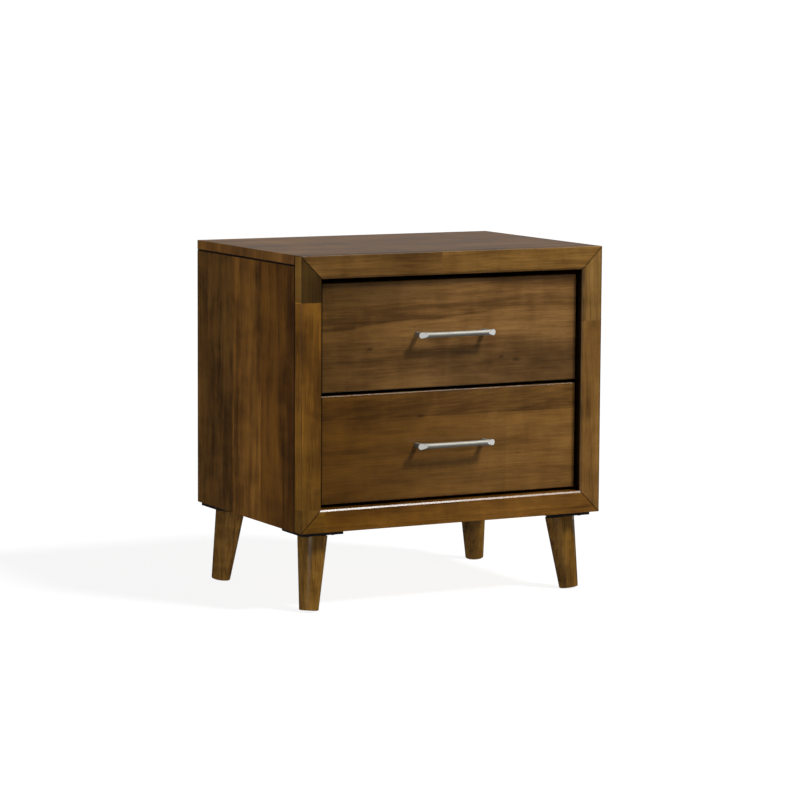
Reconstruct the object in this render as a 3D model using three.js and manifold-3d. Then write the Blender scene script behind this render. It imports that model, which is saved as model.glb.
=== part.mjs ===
// A two-drawer nightstand: a mitred face frame on a panelled case, splayed tapered legs on steel
// plates, and two inset drawers on three-member slides. Millimetres, +Z up, front towards -Y.
import * as THREE from 'three';
import { mergeVertices } from 'three/addons/utils/BufferGeometryUtils.js';
import Module from 'manifold-3d';

const wasm = await Module();
wasm.setup();

// ---- Overall size ----
const WIDTH = 610;
const CASE_DEPTH = 430;
const HEIGHT = 633;
const LEG_CLEARANCE = 146;
const FIT_GAP = 0.3;
// How far a cutting solid reaches past what it cuts.
const CUT_REACH = 60;
const CUT_MARGIN = 5;
// How much deeper a screw's or bolt's hole is than its tip.
const BORE_EXTRA = 2;

// ---- Case ----
const PANEL = 18;
const FRAME_WIDTH = 41;
const FRAME_DEPTH = 25;
// The opening's edge is eased: a flat between two small arcs.
const EASE_RADIUS = 2;
const EASE_FLAT = 2.8;
const EASE_TILT = THREE.MathUtils.degToRad(32);
const OUTER_ROUND = 1.2;
const SEAM_CHAMFER = 0.8;
const GROOVE_CHAMFER = 1.2;
const MITRE_GAP = 0.15;
const BACK_THICK = 6;
const BACK_REBATE = 9;
const DIVIDER_DEPTH = 60;
const DIVIDER_SETBACK = 6;

// ---- Drawers ----
const RECESS = 16;
const FRONT_THICK = 19;
const FRONT_HEIGHT = 192.5;
const FRONT_EASE = 1.5;
const SIDE_GAP = 3;
const BOTTOM_GAP = 5.5;
const MIDDLE_GAP = 5.5;
const BOX_THICK = 12;
const BOX_LENGTH = 352;
const BOX_HEIGHT = 150;
const BOX_RISE = 11.5;
const BOX_BOTTOM = 5;
const BOX_BOTTOM_RISE = 10;
const BOX_GROOVE = 6;

// ---- Drawer slides ----
const SLIDE_LENGTH = 350;
const SLIDE_SPACE = 13;
const SLIDE_RISE = 55;
const SLIDE_METAL = 1.2;
const SLIDE_TOUCH_GAP = 0.1;
const CABINET_MEMBER = { web: 0, lip: 9.6, halfHeight: 22.5 };
const MIDDLE_MEMBER = { web: 3.2, lip: 11.2, halfHeight: 19.2 };
const DRAWER_MEMBER = { web: SLIDE_SPACE - SLIDE_TOUCH_GAP, lip: 6, halfHeight: 15.6 };
const SLIDE_SETBACK = 1;
const FRAME_CLEARANCE = 1.5;
const RUNNER_HEIGHT = 60;

// ---- Handles ----
const HANDLE_LENGTH = 155;
const HANDLE_SPACING = 136;
const HANDLE_STANDOFF = 26;
const HANDLE_MID_RADIUS = 4.75;
const HANDLE_END_RADIUS = 6;
// Each end is a rounded nose.
const HANDLE_NOSE = 5;
const HANDLE_NOSE_STEPS = 4;
const HANDLE_RINGS = 6;
const POST_RADIUS = 4.6;
const FACET_ANGLE = THREE.MathUtils.degToRad(16);
const FACET_LENGTH = 17;
const SCREW_RADIUS = 2;
const SCREW_HOLE_RADIUS = 2.4;
const SCREW_IN_POST = 8;
const SCREW_TIP_CHAMFER = 0.5;
const SCREW_HEAD_RADIUS = 4;
const SCREW_HEAD_TOP_RADIUS = 3;
const SCREW_HEAD_RIM = 1;
const SCREW_HEAD_SHOULDER = 2.2;
const SCREW_HEAD_HEIGHT = 2.6;

// ---- Legs ----
const LEG_TOP_RADIUS = 26.8;
const LEG_FOOT_RADIUS = 17.4;
const LEG_FOOT_ROUND = 1.4;
const LEG_SPLAY = THREE.MathUtils.degToRad(8.2);
const LEG_TOP_CHAMFER = 1.2;
const LEG_SHOULDER_GAP = 0.6;
const FRONT_LEG_INSET_SIDE = 51.5;
const FRONT_LEG_INSET = 56;
const REAR_LEG_INSET_SIDE = 48;
const REAR_LEG_INSET = 42;
const PLATE_SIZE = 82;
const PLATE_CORNER = 2;
const PLATE_THICK = 7;
const PLATE_SCREW_OFFSET = 26;
const PLATE_SCREW_HOLE = 2.6;
const BOSS_INSET = 2;
const BOSS_RISE = 12;
const BOSS_CUT = 0.5;
const BOLT_RADIUS = 4;
const BOLT_TIP_RADIUS = 1.2;
const BOLT_TIP_LENGTH = 6;
const BOLT_END_CHAMFER = 1;
const BOLT_IN_LEG = 33;
const BOLT_ABOVE_PLATE = 10;
const BOLT_POCKET_RADIUS = 8;
const BOLT_POCKET_DEPTH = 13;

// ---- Derived places ----
const caseBottom = LEG_CLEARANCE;
const caseTop = HEIGHT;
const frontY = -CASE_DEPTH / 2;
const backY = CASE_DEPTH / 2;
const panelFrontY = frontY + FRAME_DEPTH;
const sideInner = WIDTH / 2 - PANEL;
const openingHalf = WIDTH / 2 - FRAME_WIDTH;
const openingBottom = caseBottom + FRAME_WIDTH;
const slideFace = openingHalf + FRAME_CLEARANCE;
const boxHalf = slideFace - SLIDE_SPACE;
const drawerFaceY = frontY + RECESS;
const boxFrontY = drawerFaceY + FRONT_THICK;
const boxBackY = boxFrontY + BOX_LENGTH;
const lowerFrontZ = openingBottom + BOTTOM_GAP;
const upperFrontZ = lowerFrontZ + FRONT_HEIGHT + MIDDLE_GAP;
const slideStartY = boxFrontY + SLIDE_SETBACK;
const facetRadius = barRadius(1 - FACET_LENGTH / (HANDLE_LENGTH / 2));
const handleProud = HANDLE_STANDOFF + facetRadius - RECESS;

// The bar's radius at a share of its half length: it thins towards the middle.
function barRadius(share) {
  return HANDLE_MID_RADIUS + (HANDLE_END_RADIUS - HANDLE_MID_RADIUS) * Math.abs(share) ** 3;
}

// ---- Materials ----
function material(color, roughness, metalness) {
  return new THREE.MeshStandardMaterial({ color, roughness, metalness });
}
const finishes = {
  veneer: () => material(0x6b4a26, 0.42, 0),
  frontVeneer: () => material(0x73502a, 0.42, 0),
  legWood: () => material(0x6e4821, 0.35, 0),
  drawerWood: () => material(0xb89a6c, 0.6, 0),
  ply: () => material(0xa98c60, 0.7, 0),
  nickel: () => material(0xb9b4aa, 0.3, 1),
  zinc: () => material(0x9b9da0, 0.4, 1),
  blackSteel: () => material(0x17181a, 0.5, 0.8),
};

// ---- Solid helpers ----
function bare(geometry) {
  const copy = geometry.clone();
  copy.deleteAttribute('normal');
  copy.deleteAttribute('uv');
  return mergeVertices(copy, 1e-4);
}

function toSolid(geometry) {
  const merged = bare(geometry);
  return new wasm.Manifold(new wasm.Mesh({
    numProp: 3,
    vertProperties: new Float32Array(merged.attributes.position.array),
    triVerts: new Uint32Array(merged.index.array),
  }));
}

function toGeometry(solid) {
  const result = solid.getMesh();
  const geometry = new THREE.BufferGeometry();
  geometry.setAttribute('position', new THREE.BufferAttribute(result.vertProperties, 3));
  geometry.setIndex(new THREE.BufferAttribute(result.triVerts, 1));
  return geometry;
}

function subtract(geometry, ...tools) {
  let solid = toSolid(geometry);
  for (const tool of tools) {
    solid = solid.subtract(toSolid(tool));
  }
  return toGeometry(solid);
}

function unite(geometry, ...others) {
  let solid = toSolid(geometry);
  for (const other of others) {
    solid = solid.add(toSolid(other));
  }
  return toGeometry(solid);
}

// A box given by its lowest and highest corners.
function boxBetween(low, high) {
  const size = high.map((value, axis) => value - low[axis]);
  const centre = high.map((value, axis) => (value + low[axis]) / 2);
  return new THREE.BoxGeometry(...size).translate(...centre);
}

function outline(points) {
  return new THREE.Shape(points.map(([x, y]) => new THREE.Vector2(x, y)));
}

// Extrudes an outline and turns its first, second and depth directions onto three axes.
function extrudeAlong(shape, depth, first, second, third, steps = 4) {
  const geometry = new THREE.ExtrudeGeometry(shape, { depth, bevelEnabled: false, curveSegments: steps });
  const turn = new THREE.Matrix4().makeBasis(
    new THREE.Vector3(...first), new THREE.Vector3(...second), new THREE.Vector3(...third));
  return geometry.applyMatrix4(turn);
}

// A turned solid about the Z axis from [radius, height] points, listed from the bottom up.
function turned(points, segments) {
  const profile = points.map(([radius, height]) => new THREE.Vector2(radius, height));
  return new THREE.LatheGeometry(profile, segments).rotateX(Math.PI / 2);
}

// A cylinder along Y between two places.
function rodAlongY(radius, fromY, toY, x, z, segments = 16) {
  return new THREE.CylinderGeometry(radius, radius, toY - fromY, segments)
    .translate(x, (fromY + toY) / 2, z);
}

function place(group, name, geometry, finish) {
  const mesh = new THREE.Mesh(geometry, finish());
  mesh.name = name;
  group.add(mesh);
  return mesh;
}

// ---- Face frame ----
// Section: u runs from the outer edge to the opening, v from the front face to the back.
function frameSection() {
  const shape = new THREE.Shape();
  shape.moveTo(0, OUTER_ROUND);
  shape.absarc(OUTER_ROUND, OUTER_ROUND, OUTER_ROUND, Math.PI, 1.5 * Math.PI, false);
  const innerU = FRAME_WIDTH - EASE_RADIUS;
  const faceU = innerU - EASE_FLAT * Math.cos(EASE_TILT);
  const innerV = EASE_RADIUS + EASE_FLAT * Math.sin(EASE_TILT);
  const tilted = EASE_TILT - Math.PI / 2;
  shape.lineTo(faceU, 0);
  shape.absarc(faceU, EASE_RADIUS, EASE_RADIUS, -Math.PI / 2, tilted, false);
  shape.absarc(innerU, innerV, EASE_RADIUS, tilted, 0, false);
  shape.lineTo(FRAME_WIDTH, FRAME_DEPTH);
  shape.lineTo(SEAM_CHAMFER, FRAME_DEPTH);
  shape.lineTo(0, FRAME_DEPTH - SEAM_CHAMFER);
  return shape;
}

// One member with both ends mitred at 45 degrees towards the opening.
function frameMember(length, inward, along) {
  const geometry = new THREE.ExtrudeGeometry(frameSection(),
    { depth: length, bevelEnabled: false, curveSegments: 3 });
  const places = geometry.attributes.position;
  for (let i = 0; i < places.count; i += 1) {
    const cut = places.getX(i) + MITRE_GAP;
    places.setZ(i, places.getZ(i) > length / 2 ? length - cut : cut);
  }
  const turn = new THREE.Matrix4().makeBasis(
    new THREE.Vector3(...inward), new THREE.Vector3(0, 1, 0), new THREE.Vector3(...along));
  return geometry.applyMatrix4(turn);
}

function addFrame(group) {
  const caseHeight = caseTop - caseBottom;
  const members = [
    ['frame_top_rail', WIDTH, [0, 0, -1], [1, 0, 0], [-WIDTH / 2, frontY, caseTop]],
    ['frame_bottom_rail', WIDTH, [0, 0, 1], [-1, 0, 0], [WIDTH / 2, frontY, caseBottom]],
    ['frame_left_stile', caseHeight, [1, 0, 0], [0, 0, 1], [-WIDTH / 2, frontY, caseBottom]],
    ['frame_right_stile', caseHeight, [-1, 0, 0], [0, 0, -1], [WIDTH / 2, frontY, caseTop]],
  ];
  for (const [name, length, inward, along, corner] of members) {
    place(group, name, frameMember(length, inward, along), finishes.veneer).position.set(...corner);
  }
}

// ---- Case panels ----
function topPanel() {
  const half = WIDTH / 2;
  const low = caseTop - PANEL;
  const section = outline([
    [-half, low + GROOVE_CHAMFER],
    [-half + GROOVE_CHAMFER, low],
    [half - GROOVE_CHAMFER, low],
    [half, low + GROOVE_CHAMFER],
    [half, caseTop],
    [-half, caseTop],
  ]);
  const length = backY - panelFrontY;
  const board = extrudeAlong(section, length, [1, 0, 0], [0, 0, 1], [0, -1, 0]);
  board.translate(0, backY, 0);
  const rebate = boxBetween(
    [-sideInner - BACK_REBATE, backY - BACK_THICK, low - CUT_MARGIN],
    [sideInner + BACK_REBATE, backY + CUT_MARGIN, low + BACK_REBATE]);
  return subtract(board, rebate);
}

function rightSidePanel() {
  const outer = WIDTH / 2;
  const section = outline([
    [sideInner, panelFrontY],
    [outer - SEAM_CHAMFER, panelFrontY],
    [outer, panelFrontY + SEAM_CHAMFER],
    [outer, backY],
    [sideInner + BACK_REBATE, backY],
    [sideInner + BACK_REBATE, backY - BACK_THICK],
    [sideInner, backY - BACK_THICK],
  ]);
  const height = caseTop - PANEL - caseBottom;
  const board = extrudeAlong(section, height, [1, 0, 0], [0, 1, 0], [0, 0, 1]);
  board.translate(0, 0, caseBottom);
  const knife = 2 * GROOVE_CHAMFER;
  const groove = boxBetween(
    [-knife, panelFrontY - CUT_MARGIN, -knife],
    [knife, backY + CUT_MARGIN, knife])
    .rotateY(Math.PI / 4)
    .translate(outer + knife * Math.SQRT2 - GROOVE_CHAMFER, 0, caseTop - PANEL);
  return subtract(board, groove);
}

function mirroredX(geometry) {
  const flipped = geometry.clone().scale(-1, 1, 1);
  const index = flipped.index;
  for (let i = 0; i < index.count; i += 3) {
    const first = index.getX(i);
    index.setX(i, index.getX(i + 1));
    index.setX(i + 1, first);
  }
  return flipped;
}

function legSpots() {
  const frontX = WIDTH / 2 - FRONT_LEG_INSET_SIDE;
  const rearX = WIDTH / 2 - REAR_LEG_INSET_SIDE;
  const front = frontY + FRONT_LEG_INSET;
  const rear = backY - REAR_LEG_INSET;
  return [
    ['front_left', -frontX, front, -1, -1],
    ['front_right', frontX, front, 1, -1],
    ['rear_left', -rearX, rear, -1, 1],
    ['rear_right', rearX, rear, 1, 1],
  ];
}

function bottomPanel() {
  const board = boxBetween(
    [-sideInner, panelFrontY, caseBottom],
    [sideInner, backY - BACK_THICK, caseBottom + PANEL]);
  const pockets = legSpots().map(([, x, y]) => new THREE.CylinderGeometry(
    BOLT_POCKET_RADIUS, BOLT_POCKET_RADIUS, 2 * BOLT_POCKET_DEPTH, 20)
    .rotateX(Math.PI / 2)
    .translate(x, y, caseBottom));
  return subtract(board, ...pockets);
}

function addCase(group) {
  place(group, 'top_panel', topPanel(), finishes.veneer);
  place(group, 'side_panel_right', rightSidePanel(), finishes.veneer);
  place(group, 'side_panel_left', mirroredX(rightSidePanel()), finishes.veneer);
  place(group, 'bottom_panel', bottomPanel(), finishes.veneer);
  const back = boxBetween(
    [-sideInner - BACK_REBATE + FIT_GAP, backY - BACK_THICK, caseBottom],
    [sideInner + BACK_REBATE - FIT_GAP, backY - FIT_GAP, caseTop - PANEL + BACK_REBATE - FIT_GAP]);
  place(group, 'back_panel', back, finishes.ply);
  const dividerZ = upperFrontZ - MIDDLE_GAP / 2;
  const divider = boxBetween(
    [-sideInner, boxFrontY + DIVIDER_SETBACK, dividerZ - PANEL / 2],
    [sideInner, boxFrontY + DIVIDER_SETBACK + DIVIDER_DEPTH, dividerZ + PANEL / 2]);
  place(group, 'divider_rail', divider, finishes.drawerWood);
}

// ---- Legs, plates and bolts ----
// A frame whose Z axis is the leg's axis and whose origin is under the middle of its plate.
function legGroup(x, y, dirX, dirY) {
  const group = new THREE.Group();
  group.position.set(x, y, caseBottom - PLATE_THICK);
  const lean = new THREE.Vector3(-dirX, -dirY, 0).normalize().multiplyScalar(Math.sin(LEG_SPLAY));
  const axis = new THREE.Vector3(lean.x, lean.y, Math.cos(LEG_SPLAY));
  group.quaternion.setFromUnitVectors(new THREE.Vector3(0, 0, 1), axis);
  return group;
}

const legShoulder = LEG_TOP_RADIUS * Math.tan(LEG_SPLAY) + LEG_SHOULDER_GAP;
const footRise = (LEG_FOOT_RADIUS - LEG_FOOT_ROUND) * Math.sin(LEG_SPLAY)
  + LEG_FOOT_ROUND * (1 - Math.cos(LEG_SPLAY));
const legLength = (caseBottom - PLATE_THICK - footRise) / Math.cos(LEG_SPLAY) - legShoulder;

function legSolid() {
  const bore = BOLT_RADIUS + FIT_GAP;
  const points = [[0, 0]];
  const roundSteps = 3;
  for (let step = 0; step <= roundSteps; step += 1) {
    const angle = (step / roundSteps) * (Math.PI / 2);
    points.push([
      LEG_FOOT_RADIUS - LEG_FOOT_ROUND + LEG_FOOT_ROUND * Math.sin(angle),
      LEG_FOOT_ROUND - LEG_FOOT_ROUND * Math.cos(angle),
    ]);
  }
  const boreEnd = legLength - BOLT_IN_LEG - BORE_EXTRA;
  points.push([LEG_TOP_RADIUS, legLength - LEG_TOP_CHAMFER]);
  points.push([LEG_TOP_RADIUS - LEG_TOP_CHAMFER, legLength]);
  points.push([bore, legLength]);
  points.push([bore, boreEnd]);
  points.push([0, boreEnd]);
  return turned(points, 32).translate(0, 0, -legShoulder - legLength);
}

function boltSolid() {
  const low = -legShoulder - BOLT_IN_LEG;
  const high = PLATE_THICK + BOLT_ABOVE_PLATE;
  return turned([
    [0, low],
    [BOLT_TIP_RADIUS, low],
    [BOLT_RADIUS, low + BOLT_TIP_LENGTH],
    [BOLT_RADIUS, high - BOLT_END_CHAMFER],
    [BOLT_RADIUS - BOLT_END_CHAMFER, high],
    [0, high],
  ], 16);
}

function roundedSquare(size, corner) {
  const half = size / 2;
  const shape = new THREE.Shape();
  shape.moveTo(-half + corner, -half);
  shape.lineTo(half - corner, -half);
  shape.absarc(half - corner, -half + corner, corner, -Math.PI / 2, 0, false);
  shape.lineTo(half, half - corner);
  shape.absarc(half - corner, half - corner, corner, 0, Math.PI / 2, false);
  shape.lineTo(-half + corner, half);
  shape.absarc(-half + corner, half - corner, corner, Math.PI / 2, Math.PI, false);
  shape.lineTo(-half, -half + corner);
  shape.absarc(-half + corner, -half + corner, corner, Math.PI, 1.5 * Math.PI, false);
  return shape;
}

// A flat plate with a wedge boss under it that meets the leg's tilted shoulder.
function plateSolid(x, y, dirX, dirY) {
  const shape = roundedSquare(PLATE_SIZE, PLATE_CORNER);
  for (const signX of [-1, 1]) {
    for (const signY of [-1, 1]) {
      const hole = new THREE.Path();
      hole.absarc(signX * PLATE_SCREW_OFFSET, signY * PLATE_SCREW_OFFSET, PLATE_SCREW_HOLE,
        0, 2 * Math.PI, true);
      shape.holes.push(hole);
    }
  }
  const plate = new THREE.ExtrudeGeometry(shape,
    { depth: PLATE_THICK, bevelEnabled: false, curveSegments: 4 });
  plate.translate(x, y, caseBottom - PLATE_THICK);

  const tilt = legGroup(x, y, dirX, dirY);
  tilt.updateMatrix();
  const column = (radius, low, high, segments) => turned(
    [[0, low], [radius, low], [radius, high], [0, high]], segments).applyMatrix4(tilt.matrix);
  const boss = column(LEG_TOP_RADIUS - BOSS_INSET, -legShoulder + FIT_GAP, BOSS_RISE, 32);
  const bore = column(BOLT_RADIUS + FIT_GAP, -CUT_REACH, CUT_REACH, 16);
  const above = boxBetween(
    [x - PLATE_SIZE, y - PLATE_SIZE, caseBottom - BOSS_CUT],
    [x + PLATE_SIZE, y + PLATE_SIZE, caseBottom + CUT_REACH]);
  const wedge = subtract(boss, above);
  return subtract(unite(plate, wedge), bore);
}

function addLegs(group) {
  for (const [name, x, y, dirX, dirY] of legSpots()) {
    place(group, `leg_plate_${name}`, plateSolid(x, y, dirX, dirY), finishes.blackSteel);
    const leaning = legGroup(x, y, dirX, dirY);
    place(leaning, `leg_${name}`, legSolid(), finishes.legWood);
    place(leaning, `hanger_bolt_${name}`, boltSolid(), finishes.zinc);
    group.add(leaning);
  }
}

// ---- Slides ----
// Each member is a channel; web and lip are distances from the runner strip towards the drawer.
function channel({ web, lip, halfHeight }) {
  const webInside = web + (web < lip ? SLIDE_METAL : -SLIDE_METAL);
  const inside = halfHeight - SLIDE_METAL;
  return outline([
    [web, -halfHeight],
    [lip, -halfHeight],
    [lip, -inside],
    [webInside, -inside],
    [webInside, inside],
    [lip, inside],
    [lip, halfHeight],
    [web, halfHeight],
  ]);
}

function addSlideMember(group, name, member, side, z) {
  const rail = extrudeAlong(channel(member), SLIDE_LENGTH, [-side, 0, 0], [0, 0, side], [0, 1, 0]);
  place(group, name, rail, finishes.zinc).position.set(side * slideFace, slideStartY, z);
}

const sides = [['left', -1], ['right', 1]];

function addRunners(group, level, frontZ) {
  const z = frontZ + BOX_RISE + SLIDE_RISE;
  for (const [sideName, side] of sides) {
    const inner = side * slideFace;
    const outer = side * sideInner;
    const strip = boxBetween(
      [Math.min(inner, outer), slideStartY, z - RUNNER_HEIGHT / 2],
      [Math.max(inner, outer), slideStartY + SLIDE_LENGTH, z + RUNNER_HEIGHT / 2]);
    place(group, `${level}_runner_strip_${sideName}`, strip, finishes.drawerWood);
    addSlideMember(group, `${level}_slide_cabinet_${sideName}`, CABINET_MEMBER, side, z);
    addSlideMember(group, `${level}_slide_middle_${sideName}`, MIDDLE_MEMBER, side, z);
  }
}

// ---- Drawers ----
// A section of the board across one edge pair, eased at the front; the other pair crosses it.
function easedSection(half) {
  return outline([
    [-half + FRONT_EASE, 0],
    [half - FRONT_EASE, 0],
    [half, FRONT_EASE],
    [half, FRONT_THICK],
    [-half, FRONT_THICK],
    [-half, FRONT_EASE],
  ]);
}

function drawerFront(frontZ) {
  const halfWidth = openingHalf - SIDE_GAP;
  const halfHeight = FRONT_HEIGHT / 2;
  const upright = extrudeAlong(easedSection(halfWidth), FRONT_HEIGHT, [1, 0, 0], [0, 1, 0], [0, 0, 1]);
  upright.translate(0, 0, -halfHeight);
  const level = extrudeAlong(easedSection(halfHeight), 2 * halfWidth, [0, 0, 1], [0, 1, 0], [-1, 0, 0]);
  level.translate(halfWidth, 0, 0);
  const board = toGeometry(toSolid(upright).intersect(toSolid(level)));
  board.translate(0, drawerFaceY, frontZ + halfHeight);
  return subtract(board, ...handleHoles(frontZ));
}

function handleHoles(frontZ) {
  const z = frontZ + FRONT_HEIGHT / 2;
  return [-1, 1].map((side) => rodAlongY(SCREW_HOLE_RADIUS, drawerFaceY - CUT_MARGIN,
    boxFrontY + BOX_THICK + CUT_MARGIN, side * HANDLE_SPACING / 2, z));
}

// A board section with the groove that holds the drawer bottom; u is thickness from the inside.
function groovedSection(lowZ) {
  const grooveLow = lowZ + BOX_BOTTOM_RISE - FIT_GAP / 2;
  const grooveHigh = lowZ + BOX_BOTTOM_RISE + BOX_BOTTOM + FIT_GAP / 2;
  return outline([
    [0, lowZ],
    [BOX_THICK, lowZ],
    [BOX_THICK, lowZ + BOX_HEIGHT],
    [0, lowZ + BOX_HEIGHT],
    [0, grooveHigh],
    [BOX_GROOVE, grooveHigh],
    [BOX_GROOVE, grooveLow],
    [0, grooveLow],
  ]);
}

function addDrawerBox(group, level, lowZ, frontZ) {
  const inner = boxHalf - BOX_THICK;
  const section = groovedSection(lowZ);
  const right = extrudeAlong(section, BOX_LENGTH, [1, 0, 0], [0, 0, 1], [0, -1, 0]);
  right.translate(inner, boxBackY, 0);
  place(group, `${level}_box_side_right`, right, finishes.drawerWood);
  const left = extrudeAlong(section, BOX_LENGTH, [-1, 0, 0], [0, 0, 1], [0, 1, 0]);
  left.translate(-inner, boxFrontY, 0);
  place(group, `${level}_box_side_left`, left, finishes.drawerWood);

  const front = extrudeAlong(section, 2 * inner, [0, -1, 0], [0, 0, 1], [-1, 0, 0]);
  front.translate(inner, boxFrontY + BOX_THICK, 0);
  place(group, `${level}_box_front`, subtract(front, ...handleHoles(frontZ)), finishes.drawerWood);
  const back = extrudeAlong(section, 2 * inner, [0, 1, 0], [0, 0, 1], [1, 0, 0]);
  back.translate(-inner, boxBackY - BOX_THICK, 0);
  place(group, `${level}_box_back`, back, finishes.drawerWood);

  const reach = BOX_GROOVE - FIT_GAP;
  const bottom = boxBetween(
    [-inner - reach, boxFrontY + BOX_THICK - reach, lowZ + BOX_BOTTOM_RISE],
    [inner + reach, boxBackY - BOX_THICK + reach, lowZ + BOX_BOTTOM_RISE + BOX_BOTTOM]);
  place(group, `${level}_box_bottom`, bottom, finishes.ply);
}

// ---- Handles ----
// Half of the bar's profile, from its middle to the tip of its nose.
function barProfile(half) {
  const points = [];
  for (let ring = 0; ring < HANDLE_RINGS; ring += 1) {
    const along = (ring / HANDLE_RINGS) * (half - HANDLE_NOSE);
    points.push([barRadius(along / half), along]);
  }
  for (let step = 0; step <= HANDLE_NOSE_STEPS; step += 1) {
    const angle = (step / HANDLE_NOSE_STEPS) * (Math.PI / 2);
    const along = half - HANDLE_NOSE + HANDLE_NOSE * Math.sin(angle);
    points.push([step < HANDLE_NOSE_STEPS ? barRadius(along / half) * Math.cos(angle) : 0, along]);
  }
  return points;
}

// A bar on two posts, cut by a slanted facet on the front of each end.
function handleSolid(z) {
  const half = HANDLE_LENGTH / 2;
  const barY = drawerFaceY - HANDLE_STANDOFF;
  const right = barProfile(half);
  const left = right.slice(1).reverse().map(([radius, along]) => [radius, -along]);
  const bar = turned([...left, ...right], 24).rotateY(Math.PI / 2).translate(0, barY, z);
  const posts = [];
  const cuts = [];
  for (const side of [-1, 1]) {
    const postX = side * HANDLE_SPACING / 2;
    posts.push(rodAlongY(POST_RADIUS, barY, drawerFaceY, postX, z, 20));
    cuts.push(boxBetween([-CUT_REACH, -CUT_REACH, -CUT_REACH], [CUT_REACH, 0, CUT_REACH])
      .rotateZ(side * FACET_ANGLE)
      .translate(
        side * (half - FACET_LENGTH + CUT_REACH * Math.cos(FACET_ANGLE)),
        barY - facetRadius + CUT_REACH * Math.sin(FACET_ANGLE),
        z));
    cuts.push(rodAlongY(SCREW_RADIUS + FIT_GAP, drawerFaceY - SCREW_IN_POST - BORE_EXTRA,
      drawerFaceY + CUT_MARGIN, postX, z, 14));
  }
  return subtract(unite(bar, ...posts), ...cuts);
}

function screwSolid() {
  const tip = drawerFaceY - SCREW_IN_POST;
  const shank = boxFrontY + BOX_THICK - tip;
  return turned([
    [0, 0],
    [SCREW_RADIUS - SCREW_TIP_CHAMFER, 0],
    [SCREW_RADIUS, SCREW_TIP_CHAMFER],
    [SCREW_RADIUS, shank],
    [SCREW_HEAD_RADIUS, shank],
    [SCREW_HEAD_RADIUS, shank + SCREW_HEAD_RIM],
    [SCREW_HEAD_TOP_RADIUS, shank + SCREW_HEAD_SHOULDER],
    [0, shank + SCREW_HEAD_HEIGHT],
  ], 14).rotateX(-Math.PI / 2).translate(0, tip, 0);
}

function addDrawer(group, level, frontZ) {
  const handleZ = frontZ + FRONT_HEIGHT / 2;
  const lowZ = frontZ + BOX_RISE;
  place(group, `${level}_drawer_front`, drawerFront(frontZ), finishes.frontVeneer);
  addDrawerBox(group, level, lowZ, frontZ);
  place(group, `${level}_handle`, handleSolid(handleZ), finishes.nickel);
  for (const [sideName, side] of sides) {
    const screw = place(group, `${level}_handle_screw_${sideName}`, screwSolid(), finishes.zinc);
    screw.position.set(side * HANDLE_SPACING / 2, 0, handleZ);
    addSlideMember(group, `${level}_slide_drawer_${sideName}`, DRAWER_MEMBER, side,
      lowZ + SLIDE_RISE);
  }
}

// ---- Assembly ----
// The handles stand proud of the case, so the case sits back by half of that.
const group = new THREE.Group();
const body = new THREE.Group();
body.position.y = handleProud / 2;
group.add(body);
addFrame(body);
addCase(body);
addLegs(body);
for (const [level, frontZ] of [['upper', upperFrontZ], ['lower', lowerFrontZ]]) {
  addRunners(body, level, frontZ);
  addDrawer(body, level, frontZ);
}

export default group;
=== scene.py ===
"""Looks of a two-drawer nightstand: lacquered veneer, satin nickel pulls and black leg plates.

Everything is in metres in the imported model's frame: +Z up, the front towards -Y, and the origin
on the floor under the middle of the object.
"""
import math

import bmesh
import bpy
from mathutils import Matrix, Vector


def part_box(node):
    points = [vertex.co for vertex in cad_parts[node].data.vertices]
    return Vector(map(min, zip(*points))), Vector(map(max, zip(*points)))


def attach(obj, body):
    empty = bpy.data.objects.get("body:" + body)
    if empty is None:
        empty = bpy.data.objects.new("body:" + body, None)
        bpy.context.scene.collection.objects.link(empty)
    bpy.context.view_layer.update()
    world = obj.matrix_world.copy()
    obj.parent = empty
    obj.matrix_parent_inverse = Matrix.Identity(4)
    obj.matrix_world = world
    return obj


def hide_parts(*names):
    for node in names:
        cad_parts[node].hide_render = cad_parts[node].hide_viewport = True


MM = 0.001

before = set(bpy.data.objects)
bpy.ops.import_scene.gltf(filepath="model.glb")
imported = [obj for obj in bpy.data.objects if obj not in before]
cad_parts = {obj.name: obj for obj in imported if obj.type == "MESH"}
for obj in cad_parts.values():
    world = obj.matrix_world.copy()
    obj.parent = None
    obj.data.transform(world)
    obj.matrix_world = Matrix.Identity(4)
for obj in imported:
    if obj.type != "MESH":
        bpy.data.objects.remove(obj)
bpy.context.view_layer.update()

# ---- Places taken from the frame ----
TOP_LOW, TOP_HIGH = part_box("top_panel")
LEFT_LOW, LEFT_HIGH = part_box("side_panel_left")
FRONT_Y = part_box("frame_top_rail")[0].y
CASE_CENTRE_Y = (FRONT_Y + TOP_HIGH.y) / 2
CASE_BOTTOM = LEFT_LOW.z
CORNERS = ("front_left", "front_right", "rear_left", "rear_right")
LEVELS = ("upper", "lower")
SIDES = ("left", "right")


# ---- Camera, light and floor ----
VIEW_AZIMUTH = math.radians(-28.134)
VIEW_PITCH = math.radians(6.922)
VIEW_ROLL = math.radians(0.341)
VIEW_DISTANCE = 6.015
VIEW_HEIGHT = 1.074
VIEW_LATERAL = 0.0047
VIEW_LENS = 148.28
SENSOR_WIDTH = 36
CLIP_END = 50

KEY_AZIMUTH = math.radians(35)
KEY_ELEVATION = math.radians(48)
KEY_SPREAD = math.radians(11)
KEY_POWER = 4.3
# Dim upright panels: name, azimuth, width, height, middle height, distance and watts.
PANELS = (
    ("left_panel", math.radians(-44), 1.0, 1.3, 0.55, 2.6, 6.5),
    ("right_panel", math.radians(96), 0.7, 1.5, 0.25, 1.6, 3.0),
)
DOME_COLOUR = (1.0, 0.985, 0.965)
DOME_POWER = 0.23
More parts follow.
